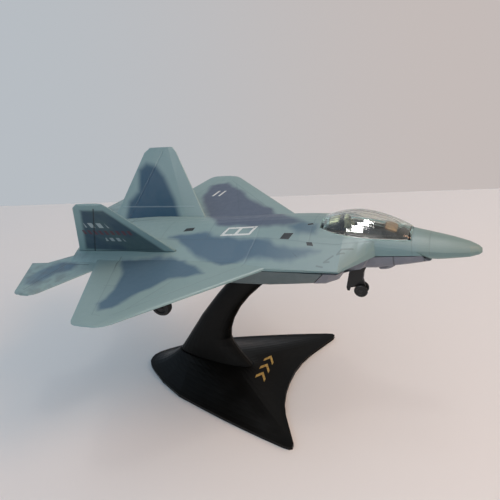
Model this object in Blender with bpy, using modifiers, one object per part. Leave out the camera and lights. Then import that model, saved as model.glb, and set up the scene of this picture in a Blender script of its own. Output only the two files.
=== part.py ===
"""Toy twin-tail jet on a two-piece display stand.

World frame: metres, +X towards the nose, +Y to port, +Z up, origin under the middle of the
whole model on the surface it stands on. The aeroplane is drawn in its own frame (the empty
"plane_frame": x forward, y to port, z up, z = 0 in the wing plane), which is pitched nose-up.
All sizes below are millimetres and are turned into metres as each mesh is made.
"""
import math

import bmesh
import bpy
from mathutils import Matrix, Vector

MM = 0.001
GAP = 0.3              # clearance between pieces that touch
RUN = 0.1              # radial clearance of an axle or pin in its hole

# ---- driving dimensions -------------------------------------------------------------------
PITCH = 4.1            # nose-up angle of the aeroplane on its stand, degrees
STAND_X = -3.79        # x of the stand's and the aeroplane's drawing origins in the world
PLANE_ORIGIN = (STAND_X, 0.0, 55.27)
NOSE_TIP = 72.37
HALF_SPAN = 48.4
SEAM_TOP = 33.0        # where the two belly pieces meet, at the top of the side
SEAM_SLOPE = 0.8       # the seam runs down and back by this much per mm

FIN_ROOT, FIN_TOP = (10.9, 1.4), (22.2, 22.9)     # (y, z) on the fin's middle plane
SOCKET = (6.7, 13.3, 2.1)                         # x from, x to, half width
NOSE_HINGE = (41.0, -5.2)                         # x, z
NOSE_WHEEL = (39.2, -15.8, 2.05)                  # x, z, radius
MAIN_HINGE = (14.8, -3.3)                         # y, z
MAIN_WHEEL = (-19.65, -14.45, 3.3)                # x, z, radius
NOSE_SEAM = (55.9, 1.05)                          # x at the body's edge, forward slope per mm down
SCREWS = {"screw_front": 55.4, "screw_middle": 21.0, "screw_rear": -33.0}

# Half width of the body seen from above, against x.
PLAN = [(-50, 15.6), (-36, 16.4), (16.3, 16.6), (37.2, 16.35), (45.4, 6.6), (52, 5.95),
        (59.4, 5.05), (64.5, 4.2), (69.4, 2.8), (71.6, 1.5), (NOSE_TIP, 0.6)]
# Height of the body's side edge.
EDGE = [(-50, -0.8), (-44, -0.6), (-30, 0.3), (16.3, 0.35), (25, 0.25), (37.2, 0.1), (45.4, 1.35),
        (52, 0.98), (59.4, 0.2), (64.5, -0.4), (69.4, -1.0), (NOSE_TIP, -1.5)]
# Height of the spine.
SPINE = [(-50, 2.1), (-44, 2.6), (-30, 3.9), (-13, 5.1), (0, 6.0), (12, 6.8), (25, 7.45), (31, 7.2),
         (36, 6.75), (41.5, 6.25), (48, 5.3), (54.4, 4.15), (59.1, 3.2), (64.2, 2.1), (69.2, 0.7),
         (71.6, -0.35), (NOSE_TIP, -1.05)]
# Section shape: z = edge + (spine - edge) * (1 - t^A)^B, with t from 0 at the spine to 1.
SHAPE_A = [(-50, 3.2), (-30, 2.7), (-13, 2.1), (5, 2.0), (16.3, 1.9), (30, 1.7), (38, 1.75), (41.2, 2.0),
           (43.3, 2.6), (45.4, 3.6), (50, 2.6), (54, 2.0), (NOSE_TIP, 2.0)]
SHAPE_B = [(-50, 1.0), (-30, 1.25), (-13, 1.6), (5, 1.6), (16.3, 1.25), (30, 1.05), (38, 1.03), (41.2, 1.0),
           (43.3, 0.85), (45.4, 0.45), (50, 0.48), (54.5, 0.58), (58, 0.8), (NOSE_TIP, 0.85)]
# Height where the upper casting ends and the belly begins.
PARTING = [(-50, -1.9), (-44, -1.9), (-26, -0.8), (40, -0.8), (59.4, -1.2), (NOSE_TIP, -1.2)]
# Underside of the belly and nose.
KEEL = [(-44, -4.6), (-36, -5.8), (-24, -7.2), (-12, -7.5), (16, -7.5), (28.5, -6.4), (43.7, -6.2),
        (50, -5.4), (59.4, -3.95), (61.2, -3.8), (69.25, -3.25), (71.6, -2.75), (NOSE_TIP, -2.3)]
# Half width of the belly's flat bottom.
BELLY = [(-40, 12.6), (-26, 15.4), (-13, 15.4), (2, 13.0), (28.5, 13.0), (36.5, 13.0)]

PAINT = (0.205, 0.282, 0.282)
BELLY_GREY = (0.110, 0.140, 0.150)
FRONT_BELLY_GREY = (0.160, 0.168, 0.190)
BLACK = (0.012, 0.012, 0.013)


# ---- helpers ------------------------------------------------------------------------------
def lookup(table, x):
    """Straight-line reading of a table of (x, value)."""
    if x <= table[0][0]:
        return table[0][1]
    for (x0, v0), (x1, v1) in zip(table, table[1:]):
        if x <= x1:
            return v0 + (v1 - v0) * (x - x0) / (x1 - x0)
    return table[-1][1]


def smooth_lookup(table, x):
    """Reading of a table along a smooth curve through its points."""
    xs = [p[0] for p in table]
    i = max(0, min(len(table) - 2, sum(1 for v in xs if v <= x) - 1))
    x0, v0 = table[i]
    x1, v1 = table[i + 1]
    before = table[i - 1] if i > 0 else (x0 - (x1 - x0), v0 - (v1 - v0))
    after = table[i + 2] if i + 2 < len(table) else (x1 + (x1 - x0), v1 + (v1 - v0))
    m0 = (v1 - before[1]) / (x1 - before[0]) * (x1 - x0)
    m1 = (after[1] - v0) / (after[0] - x0) * (x1 - x0)
    t = max(0.0, min(1.0, (x - x0) / (x1 - x0)))
    return ((2 * t**3 - 3 * t**2 + 1) * v0 + (t**3 - 2 * t**2 + t) * m0
            + (-2 * t**3 + 3 * t**2) * v1 + (t**3 - t**2) * m1)


def material(name, color, roughness, metallic=0.0, alpha=1.0):
    made = bpy.data.materials.new(name)
    made.use_nodes = True
    shader = made.node_tree.nodes["Principled BSDF"]
    shader.inputs["Base Color"].default_value = (*color, 1.0)
    shader.inputs["Roughness"].default_value = roughness
    shader.inputs["Metallic"].default_value = metallic
    shader.inputs["Alpha"].default_value = alpha
    made.diffuse_color = (*color, alpha)
    return made


def collection(name):
    made = bpy.data.collections.new(name)
    bpy.context.scene.collection.children.link(made)
    return made


class Frame:
    """An empty and its origin in plane coordinates (or world ones when it has no parent)."""

    def __init__(self, name, origin, parent=None, pitch=0.0):
        self.origin = Vector(origin)
        self.parent = parent
        self.empty = bpy.data.objects.new(name, None)
        self.empty.location = (self.origin - (parent.inner if parent else Vector())) * MM
        self.empty.rotation_euler = (0.0, -math.radians(pitch), 0.0)
        self.inner = Vector() if pitch or not parent else self.origin
        PARTS.objects.link(self.empty)
        if parent:
            self.empty.parent = parent.empty


def add(name, bm, frame, finish=None):
    """Turn a bmesh in millimetres into an object of a frame; without a finish it is a cutter."""
    bmesh.ops.recalc_face_normals(bm, faces=bm.faces[:])
    shift = frame.inner if frame else Vector()
    for vert in bm.verts:
        vert.co = (vert.co - shift) * MM
    mesh = bpy.data.meshes.new(name)
    bm.to_mesh(mesh)
    bm.free()
    made = bpy.data.objects.new(name, mesh)
    if finish:
        mesh.materials.append(finish)
        mesh.shade_smooth()
        mesh.set_sharp_from_angle(angle=math.radians(28))
        PARTS.objects.link(made)
    else:
        made.hide_render = True
        made.display_type = "WIRE"
        CUTTERS.objects.link(made)
    if frame:
        made.parent = frame.empty
    return made


def boolean(target, tool, operation="DIFFERENCE"):
    step = target.modifiers.new(tool.name, "BOOLEAN")
    step.operation = operation
    step.object = tool
    step.solver = "EXACT"


def loft(rings):
    """Closed skin through rings that have the same number of points."""
    bm = bmesh.new()
    rows = [[bm.verts.new(p) for p in ring] for ring in rings]
    count = len(rows[0])
    for a, b in zip(rows, rows[1:]):
        for i in range(count):
            j = (i + 1) % count
            bm.faces.new((a[i], a[j], b[j], b[i]))
    bm.faces.new(rows[0][::-1])
    bm.faces.new(rows[-1])
    return bm


def box(x, y, z):
    """Box from three (low, high) pairs."""
    bm = bmesh.new()
    size = [v[1] - v[0] for v in (x, y, z)]
    middle = [(v[1] + v[0]) / 2 for v in (x, y, z)]
    bmesh.ops.create_cube(bm, size=1.0, matrix=Matrix.Translation(middle) @ Matrix.Diagonal((*size, 1)))
    return bm


AIM = {"X": Matrix.Rotation(math.pi / 2, 4, "Y"), "Y": Matrix.Rotation(-math.pi / 2, 4, "X"),
       "Z": Matrix.Identity(4)}


def rod(axis, centre, radius, length, radius2=None, segments=24):
    """Cylinder or cone frustum about an axis letter, centred on its middle."""
    bm = bmesh.new()
    bmesh.ops.create_cone(bm, cap_ends=True, segments=segments, radius1=radius,
                          radius2=radius if radius2 is None else radius2, depth=length,
                          matrix=Matrix.Translation(centre) @ AIM[axis])
    return bm


def slab(outline, plane, low, high):
    """Flat outline pushed from low to high along the axis that its plane leaves out."""
    def point(p, d):
        return {"XY": (p[0], p[1], d), "XZ": (p[0], d, p[1]), "YZ": (d, p[0], p[1])}[plane]
    return loft([[point(p, low) for p in outline], [point(p, high) for p in outline]])


def superellipse(count, power):
    """Points (c, s) on a half turn, squarer as power falls below 1."""
    for k in range(count + 1):
        angle = math.pi * k / count
        c, s = math.cos(angle), math.sin(angle)
        yield math.copysign(abs(c) ** power, c), abs(s) ** power


# ---- upper casting ------------------------------------------------------------------------
TOP_STEPS, LOW_STEPS = 20, 8
HOLLOW_STATIONS = (-40.2, -36, -26, -13, -7, -3, 3, 11, 21, 25.5)


def upper_ring(x, inset=0.0, roof=0.0):
    """Section of the upper casting; inset and roof shrink it for the hollow."""
    half = lookup(PLAN, x) - inset
    edge, spine = lookup(EDGE, x), smooth_lookup(SPINE, x) - roof
    a, b = lookup(SHAPE_A, x), lookup(SHAPE_B, x)
    part = lookup(PARTING, x)
    ring = []
    for k in range(TOP_STEPS + 1):
        s = math.sin(math.pi / 2 * (2 * k / TOP_STEPS - 1))
        ring.append((x, half * s, edge + (spine - edge) * max(0.0, 1 - abs(s) ** a) ** b))
    low = half - min(0.6, half * 0.3)
    for k in range(1, LOW_STEPS):
        y = low * (1 - 2 * (k - 1) / (LOW_STEPS - 2))
        ring.append((x, y, part))
    return ring


def seam_ring():
    """Last open section of the casting: its floor reaches forward to the slanted nose seam."""
    x, lean = NOSE_SEAM
    ring = upper_ring(x - 0.1)
    edge = lookup(EDGE, x)
    return ring[:TOP_STEPS + 1] + [(x + lean * (edge - z), y, z) for _, y, z in ring[TOP_STEPS + 1:]]


def nose_ring(x, lean=0.0):
    """Full section of the nose tip; lean slants its underside forward."""
    ring = upper_ring(x)[:TOP_STEPS + 1]
    edge = lookup(EDGE, x)
    foot = x + lean * (edge - lookup(KEEL, x + 4 * lean))
    half, keel = lookup(PLAN, foot), lookup(KEEL, foot)
    for c, s in list(superellipse(LOW_STEPS, 0.85))[1:-1]:
        z = edge - (edge - keel) * s
        ring.append((x + lean * (edge - z), half * c * (1 - 0.1 * s), z))
    return ring


def upper_stations():
    marks = [-50, -47, -44, -40, -36, -31, -26, -20, -13, -6, 0, 6, 11, 16.3, 21, 25, 29, 33, 37.2]
    marks += [39.2, 41.2, 43.3, 45.4, 48.5, 52, 54]
    return marks


def wing_ring(y, lead, trail, middle, thick):
    """Thin aerofoil-like ring at span y between leading edge and trailing edge."""
    chord = lead - trail
    steps = [(0.0, 0.0), (0.12, 0.32), (0.7, 0.6), (0.22 * chord, 1.0), (0.7 * chord, 0.9),
             (chord - 1.2, 0.42), (chord - 0.15, 0.3), (chord, 0.0)]
    top = [(lead - d, y, middle(lead - d) + thick * h) for d, h in steps]
    bottom = [(lead - d, y, middle(lead - d) - thick * h) for d, h in steps[-2:0:-1]]
    return top + bottom


def stab_middle(x):
    t = max(0.0, min(1.0, (x + 46) / 16))
    return -1.1 + t * t * (3 - 2 * t)


def upper_body(plane, paint):
    rings = [upper_ring(x) for x in upper_stations()]
    rings += [seam_ring(), nose_ring(*NOSE_SEAM)]
    rings += [nose_ring(x) for x in (61.5, 63, 65, 67.5, 69.4, 70.7, 71.6, 72.1, NOSE_TIP)]
    body = add("upper_body", loft(rings), plane, paint)

    hollow = [upper_ring(x, inset=3.4 if x > -5 else 8.0, roof=1.5) for x in HOLLOW_STATIONS]
    floor = len(hollow[0]) - LOW_STEPS + 1
    for ring in hollow:
        ring[floor:] = [(x, y, z - 2.0) for x, y, z in ring[floor:]]
        ring[:floor] = [(x, y, min(z, lookup(SPINE, x) - 1.5)) for x, y, z in ring[:floor]]
    boolean(body, add("cut_body_hollow", loft(hollow), plane))

    for side in (1, -1):
        label = "left" if side > 0 else "right"
        wing = []
        for y, inset in ((9.0, 0.0), (16.9, 0.0), (46.4, 0.0), (47.8, 0.5), (HALF_SPAN, 1.6)):
            lead = 16.35 - (y - 16.93) * 1.0382 - inset
            trail = -36.9 + (y - 22.6) * 0.3996 + inset
            thick = 0.85 - 0.5 * (y - 16.9) / 32 - inset * 0.12
            middle = 0.05 + (y - 17) * 0.0235
            wing.append(wing_ring(side * y, lead, trail, lambda x, m=middle: m, thick))
        boolean(body, add(f"join_wing_{label}", loft(wing), plane), "UNION")
        stab = []
        for y, trail, inset in ((8.0, -50.0, 0.0), (9.4, -50.5, 0.0), (15.9, -59.0, 0.0),
                                (16.5, -65.0, 0.0), (32.4, -59.0, 0.0), (33.4, -58.6, 0.3),
                                (33.9, -58.4, 1.0)):
            lead = -38.7 - (y - 20.4) * 0.915 - inset
            stab.append(wing_ring(side * y, lead, trail + inset, stab_middle, 0.62 - 0.006 * y))
        boolean(body, add(f"join_stab_{label}", loft(stab), plane), "UNION")
        boolean(body, add(f"cut_fin_slot_{label}", fin_mesh(side, 1.0 + 2 * GAP, 2.5 + GAP, GAP), plane))

    for name, x in SCREWS.items():
        if name != "screw_front":
            low, high = lookup(PARTING, x), lookup(SPINE, x) - 1.0
            post = rod("Z", (x, 0, (low + high) / 2), 2.1, high - low)
            boolean(body, add(f"join_post_{name}", post, plane), "UNION")
        low = lookup(PARTING, x)
        boolean(body, add(f"cut_post_{name}", rod("Z", (x, 0, low + 0.6), 0.8, 4.0, segments=16), plane))

    boolean(body, add("cut_canopy_ledge", canopy_form(-GAP, 0.6), plane))
    boolean(body, add("cut_cockpit", cockpit_form(0.9, 1.9, 12.0), plane))
    boolean(body, add("cut_gear_pocket", box((27.2, 38.2), (-2.3, 2.3), (-3, 1.0)), plane))
    boolean(body, add("cut_nozzle_pocket", box((-52, -41.5), (-9.3, 9.3), (-4, 1.2)), plane))
    return body


# ---- fins ---------------------------------------------------------------------------------
def fin_mesh(side, root_thick, depth, grow):
    """Canted fin; depth is how far its root goes into the casting, grow widens it for the slot."""
    root_y, root_z = FIN_ROOT
    top_y, top_z = FIN_TOP
    height = math.hypot(top_y - root_y, top_z - root_z)
    up = Vector((0, side * (top_y - root_y) / height, (top_z - root_z) / height))
    across = Vector((0, up.z, -up.y))
    rings = []
    for v in (-depth, 0.0, height * 0.5, height - 1.6, height):
        share = v / height
        front = -12.7 - 12.6 * share + grow - (0.5 if v == height else 0)
        back = -48.8 + 12.9 * share - grow + (1.3 if v == height else 0)
        half = (root_thick / 2) * (1 - 0.3 * max(0.0, share))
        base = Vector((0, side * root_y, root_z)) + up * v
        chord = front - back
        steps = [(0.0, 0.0), (0.25, 0.5), (0.2 * chord, 1.0), (0.66 * chord, 0.9), (chord - 0.2, 0.4), (chord, 0.0)]
        ring = [Vector((front - d, 0, 0)) + base + across * half * w for d, w in steps]
        ring += [Vector((front - d, 0, 0)) + base - across * half * w for d, w in steps[-2:0:-1]]
        rings.append([tuple(p) for p in ring])
    return loft(rings)


# ---- canopy and cockpit -------------------------------------------------------------------
# x, half width and height of the canopy's lower edge.
SILL = [(30.4, 3.6, 6.6), (33, 5.0, 6.2), (37, 5.8, 5.6), (41.5, 6.0, 4.95), (46, 5.7, 4.5),
        (50, 5.1, 4.05), (53, 4.4, 3.6), (54.5, 3.7, 3.2)]
CANOPY_TOP = [(30.4, 7.4), (33, 8.3), (36.5, 9.15), (40.2, 9.4), (44, 8.9), (48, 7.6), (51.5, 5.9),
              (54.5, 4.1)]
SILL_HALF = [(p[0], p[1]) for p in SILL]
SILL_Z = [(p[0], p[2]) for p in SILL]


def canopy_form(inset, skirt, stations=17, sides=14):
    """Bubble form drawn in by inset on all sides, its flat underside skirt below the sill."""
    rings = []
    for k in range(stations):
        x = 30.4 + inset + (24.1 - 2 * inset) * k / (stations - 1)
        half = smooth_lookup(SILL_HALF, x) - inset
        sill = lookup(SILL_Z, x)
        top = smooth_lookup(CANOPY_TOP, x) - inset
        ring = [(x, half, sill - skirt)]
        ring += [(x, half * c, sill + (top - sill) * s) for c, s in superellipse(sides, 0.86)]
        ring.append((x, -half, sill - skirt))
        rings.append(ring)
    return loft(rings)


def cockpit_form(inset, floor, top):
    """Upright-sided form on the canopy's plan; top is a height, or a drop below the sill."""
    rings = []
    for k in range(13):
        x = 30.4 + inset + (24.1 - 2 * inset) * k / 12
        half = smooth_lookup(SILL_HALF, x) - inset
        high = top if top > 0 else lookup(SILL_Z, x) + top
        rings.append([(x, half, floor), (x, half, high), (x, -half, high), (x, -half, floor)])
    return loft(rings)


def cockpit(plane, clear, black, olive):
    canopy = add("canopy", canopy_form(0.0, 0.3), plane, clear)
    boolean(canopy, add("cut_canopy_inside", canopy_form(0.7, 2.0), plane))

    tub = add("cockpit_tub", cockpit_form(1.2, 2.2, -0.9), plane, black)
    well = slab([(36.2, -3.2), (46.5, -3.0), (46.5, 3.0), (36.2, 3.2)], "XY", 3.0, 9.0)
    boolean(tub, add("cut_tub_well", well, plane))
    hood = loft([[(47.2, 2.9, 3), (47.2, 2.5, 5.2), (47.2, -2.5, 5.2), (47.2, -2.9, 3)],
                 [(50.8, 2.2, 2.8), (50.8, 1.6, 3.9), (50.8, -1.6, 3.9), (50.8, -2.2, 2.8)]])
    boolean(tub, add("join_instrument_hood", hood, plane), "UNION")
    deck = loft([[(31.9, 2.6, 5), (31.9, 2.1, 6.3), (31.9, -2.1, 6.3), (31.9, -2.6, 5)],
                 [(35.6, 3.2, 4.6), (35.6, 2.5, 7.4), (35.6, -2.5, 7.4), (35.6, -3.2, 4.6)]])
    boolean(tub, add("join_rear_deck", deck, plane), "UNION")

    profile = [(36.5, 3.3), (41.2, 3.3), (41.2, 4.2), (38.6, 4.1), (37.9, 7.6), (36.5, 7.5)]
    seat = add("pilot_seat", slab(profile, "XZ", -1.3, 1.3), plane, olive)
    seat.modifiers.new("soft_edges", "BEVEL").width = 0.2 * MM


# ---- belly --------------------------------------------------------------------------------
def seam_x(z, offset):
    """The slanted joint between the two belly pieces, at height z."""
    return SEAM_TOP + SEAM_SLOPE * (z + 1.1) + offset


def belly_section(x, half_top, half_bottom, top, keel, lean=0.0):
    """Flat-bottomed section with cut corners; lean slants it with the seam."""
    def at(y, z):
        return (x + lean * (z - top), y, z)
    side = [(half_top, top), (half_bottom + 0.5, keel + 1.0), (half_bottom - 0.6, keel)]
    ring = [at(y, z) for y, z in side] + [at(0, keel)] + [at(-y, z) for y, z in side[::-1]]
    return ring


def belly_rear(plane, plastic):
    rings = []
    for x in (-41.0, -36, -30, -26, -20, -13, -6, 2, 10, 16, 22):
        rings.append(belly_section(x, lookup(PLAN, x) - 0.7, lookup(BELLY, x),
                                   lookup(PARTING, x) - GAP, smooth_lookup(KEEL, x)))
    rings.append(belly_section(seam_x(-1.1, -GAP / 2), 16.1, 13.0, -1.1, -6.4, SEAM_SLOPE))
    belly = add("belly_rear", loft(rings), plane, plastic)

    for name, low, high in (("front", -11.5, 27.5), ("back", -39.5, -25.0)):
        hollow = []
        for k in range(7):
            x = low + (high - low) * k / 6
            half = lookup(BELLY, x) - 0.9
            keel = smooth_lookup(KEEL, x) + 1.3
            hollow.append([(x, half + 0.8, 2), (x, half, keel), (x, -half, keel), (x, -half - 0.8, 2)])
        boolean(belly, add(f"cut_belly_{name}", loft(hollow), plane))

    x0, x1, half = SOCKET
    boolean(belly, add("join_socket", box((x0 - 1.3, x1 + 1.3), (-half - 1.3, half + 1.3), (-7, -1.2)),
                       plane), "UNION")
    boolean(belly, add("cut_socket", box((x0, x1), (-half, half), (-9, 0)), plane))

    wheel_x = MAIN_WHEEL[0]
    boolean(belly, add("cut_wheel_well", box((wheel_x - 4.0, wheel_x + 4.0), (-8.5, 8.5), (-10, -1.75)), plane))
    boolean(belly, add("cut_leg_slot", box((wheel_x - 2.0, wheel_x + 2.0), (-18, 18), (-10, -1.75)), plane))
    for side in (1, -1):
        pin = rod("X", (wheel_x, side * MAIN_HINGE[0], MAIN_HINGE[1]), 0.5 + RUN, 7.2, segments=16)
        boolean(belly, add(f"cut_main_pin_{side}", pin, plane))

    for name in ("screw_middle", "screw_rear"):
        x = SCREWS[name]
        low, high = smooth_lookup(KEEL, x) + 0.5, lookup(PARTING, x) - GAP
        post = rod("Z", (x, 0, (low + high) / 2), 2.4, high - low)
        boolean(belly, add(f"join_belly_post_{name}", post, plane), "UNION")
        screw_hole(belly, name, plane)
    boolean(belly, add("cut_tongue_seat", box((24.0, 36), (-3.9, 3.9), (-9, 0)), plane))
    return belly


def screw_hole(piece, name, plane):
    x = SCREWS[name]
    keel = smooth_lookup(KEEL, x)
    boolean(piece, add(f"cut_shank_{name}_{piece.name}", rod("Z", (x, 0, -3), 0.8 + RUN, 14, segments=16), plane))
    head = rod("Z", (x, 0, keel), 1.6 + RUN, 2.6, segments=20)
    boolean(piece, add(f"cut_head_{name}_{piece.name}", head, plane))


def nose_trough_ring(x, lean=0.0):
    foot = x + lean * 2.7
    half = min(6.1, lookup(PLAN, foot) - 0.75)
    top = lookup(PARTING, x) - GAP
    keel = smooth_lookup(KEEL, foot)
    return [(x + lean * (top - z), y, z) for c, s in superellipse(12, 0.62)
            for y, z in [(half * c, top - (top - keel) * s)]]


def duct_section(x_top, lean, side, keel):
    """Outside of one air intake; lean slants the section forward as it drops."""
    shape = [(16.1, -1.1), (13.5, keel + 1.0), (12.4, keel), (4.0, keel), (4.0, -1.1)]
    return [(x_top + lean * (z + 1.1), side * y, z) for y, z in shape]


def belly_front(plane, plastic):
    rings = [nose_trough_ring(seam_x(-1.1, GAP / 2), -SEAM_SLOPE)]
    rings += [nose_trough_ring(x) for x in (37, 41, 45, 48.5, 52, 55.5)]
    rings.append(nose_trough_ring(NOSE_SEAM[0] + 1.25, NOSE_SEAM[1]))
    belly = add("belly_front", loft(rings), plane, plastic)

    for side in (1, -1):
        label = "left" if side > 0 else "right"
        duct = [duct_section(seam_x(-1.1, GAP / 2), SEAM_SLOPE, side, -6.5),
                duct_section(35.0, 0.5, side, -6.3)]
        # the mouth is raked: its outer corner stands back from its inner one
        mouth = [(36.9, 16.1, -1.1), (36.3, 13.6, -3.6), (36.2, 12.6, -4.6), (42.6, 5.4, -4.6), (44.6, 5.4, -1.1)]
        duct.append([(x, side * y, z) for x, y, z in mouth])
        boolean(belly, add(f"join_duct_{label}", loft(duct), plane), "UNION")
        inside = [(30.5, 15.0, 1), (30.5, 12.2, -5.2), (30.5, 7.4, -5.2), (30.5, 7.4, 1)]
        mid = [(35.0, 15.1, 1), (35.0, 12.3, -5.2), (35.0, 7.4, -5.2), (35.0, 7.4, 1)]
        outside = [(38.5, 15.2, 1), (38.5, 12.4, -4.0), (49.0, 6.7, -4.0), (49.0, 6.7, 1)]
        cut = loft([[(x, side * y, z) for x, y, z in ring] for ring in (inside, mid, outside)])
        boolean(belly, add(f"cut_duct_{label}", cut, plane))

    tongue = box((24.3, 34.0), (-3.6, 3.6), (-6.35, -1.15))
    boolean(belly, add("join_tongue", tongue, plane), "UNION")
    fairing = bmesh.new()
    bmesh.ops.create_uvsphere(fairing, u_segments=20, v_segments=12, radius=1.0,
                              matrix=Matrix.Translation((46.0, 0, -5.9)) @ Matrix.Diagonal((4.2, 2.8, 2.2, 1)))
    bmesh.ops.bisect_plane(fairing, geom=fairing.verts[:] + fairing.edges[:] + fairing.faces[:],
                           plane_co=(45.4, 0, 0), plane_no=(-1, 0, 0), clear_outer=True)
    bmesh.ops.holes_fill(fairing, edges=[e for e in fairing.edges if e.is_boundary])
    boolean(belly, add("join_chin_fairing", fairing, plane), "UNION")

    hollow = []
    for x in (43.6, 46, 50, 53.2):
        keel = smooth_lookup(KEEL, x) + 1.2
        half = min(6.1, lookup(PLAN, x) - 0.75) - 1.3
        hollow.append([(x, half, 1), (x, half - 0.4, keel), (x, -half + 0.4, keel), (x, -half, 1)])
    boolean(belly, add("cut_nose_hollow", loft(hollow), plane))
    boolean(belly, add("cut_gear_bay", box((27.4, 42.6), (-2.0, 2.0), (-10, 1)), plane))
    hinge = rod("Y", (NOSE_HINGE[0], 0, NOSE_HINGE[1]), 0.5 + RUN, 7.4, segments=16)
    boolean(belly, add("cut_nose_pin", hinge, plane))
    screw_hole(belly, "screw_front", plane)
    return belly


# ---- exhaust ------------------------------------------------------------------------------
def exhaust_nozzles(plane, dark):
    """Both rectangular nozzles in one insert, each with a pointed upper and lower lip."""
    low, high = -4.3, 0.9
    rings = []
    for x, y, z0, z1 in ((-41.8, 9.0, -4.2, 0.9), (-46.0, 9.0, -4.0, 0.9), (-51.5, 8.7, -3.2, 0.4)):
        rings.append([(x, y, z1), (x, y, z0), (x, -y, z0), (x, -y, z1)])
    piece = add("exhaust_nozzles", loft(rings), plane, dark)
    for side in (1, -1):
        inside = []
        for x, z0, z1 in ((-43.5, -2.9, -0.2), (-47, -3.2, 0.1), (-53, -2.6, -0.2)):
            inside.append([(x, side * 8.2, z1), (x, side * 8.2, z0), (x, side * 0.9, z0), (x, side * 0.9, z1)])
        boolean(piece, add(f"cut_nozzle_{side}", loft(inside), plane))
        notch = [(-53.0, side * 0.2), (-53.0, side * 8.9), (-49.6, side * 8.9), (-51.0, side * 4.6),
                 (-49.6, side * 0.2)]
        boolean(piece, add(f"cut_lip_{side}", slab(notch, "XY", -6, 3), plane))
    return piece


# ---- fasteners ----------------------------------------------------------------------------
def screws(plane, steel):
    for name, x in SCREWS.items():
        keel = smooth_lookup(KEEL, x)
        part = lookup(PARTING, x)
        head_top = keel + 1.15
        shank = rod("Z", (x, 0, (head_top + part + 2.2) / 2 - 0.1), 0.7, part + 2.2 - head_top + 0.2, segments=16)
        piece = add(name, shank, plane, steel)
        head = rod("Z", (x, 0, head_top - 0.5), 1.5, 0.9, radius2=1.5, segments=20)
        boolean(piece, add(f"join_head_{name}", head, plane), "UNION")
        for k, (dx, dy) in enumerate(((1.0, 0.22), (0.22, 1.0))):
            slot = box((x - dx, x + dx), (-dy, dy), (head_top - 2, head_top - 0.6))
            boolean(piece, add(f"cut_cross_{k}_{name}", slot, plane))


# ---- landing gear -------------------------------------------------------------------------
def wheel_mesh(centre, radius, width, bore):
    """Small moulded wheel turned about Y: crowned tread, dished hub, through bore."""
    half = width / 2
    profile = [(bore, -half * 0.7), (radius * 0.55, -half * 0.7), (radius * 0.62, -half), (radius * 0.86, -half),
               (radius * 0.97, -half * 0.62), (radius, 0.0), (radius * 0.97, half * 0.62), (radius * 0.86, half),
               (radius * 0.62, half), (radius * 0.55, half * 0.7), (bore, half * 0.7)]
    bm = bmesh.new()
    steps = 28
    rows = []
    for k in range(steps):
        a = 2 * math.pi * k / steps
        rows.append([bm.verts.new((centre[0] + r * math.cos(a), centre[1] + y, centre[2] + r * math.sin(a)))
                     for r, y in profile])
    for k in range(steps):
        a, b = rows[k], rows[(k + 1) % steps]
        for i in range(len(profile)):
            j = (i + 1) % len(profile)
            bm.faces.new((a[i], a[j], b[j], b[i]))
    return bm


def nose_gear(plane, black, steel):
    x, z = NOSE_HINGE
    wx, wz, radius = NOSE_WHEEL
    frame = Frame("nose_gear_axis", (x, 0, z), plane)
    outline = [(x + 1.1, z), (x + 0.9, z - 1.6), (40.5, -9.4), (39.9, -11.5), (40.2, -12.9), (wx + 1.3, wz + 1.2),
               (wx + 0.4, wz - 1.3), (wx - 0.9, wz - 0.9), (wx - 1.3, wz + 1.0), (36.1, -15.2), (35.7, -16.3),
               (35.0, -16.3), (34.8, -15.2), (36.0, -10.2), (37.2, -6.6), (x - 2.2, z + 0.7), (x - 0.6, z + 1.0),
               (x + 0.6, z + 0.9)]
    leg = add("nose_leg", slab(outline, "XZ", -0.45, 0.45), frame, black)
    strut = slab([(x + 1.1, z), (x + 0.9, z - 1.6), (40.5, -9.4), (40.0, -12.2), (38.6, -12.2), (38.9, -9.4),
                  (x - 1.2, z - 0.8), (x - 0.8, z + 0.8), (x + 0.6, z + 0.9)], "XZ", -1.1, 1.1)
    boolean(leg, add("join_nose_strut", strut, frame), "UNION")
    boolean(leg, add("cut_nose_eye", rod("Y", (x, 0, z), 0.5 + RUN, 6, segments=16), frame))
    boolean(leg, add("cut_nose_hub", rod("Y", (wx, 0, wz), 0.45 + RUN, 6, segments=16), frame))
    add("nose_hinge_pin", rod("Y", (x, 0, z), 0.5, 7.0, segments=16), plane, steel)

    wheels = Frame("nose_wheels_axis", (wx, 0, wz), frame)
    add("nose_axle", rod("Y", (wx, 0, wz), 0.45, 2.9, segments=16), wheels, steel)
    for side, label in ((1, "left"), (-1, "right")):
        add(f"nose_wheel_{label}", wheel_mesh((wx, side * 1.1, wz), radius, 0.9, 0.46), wheels, black)


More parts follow.
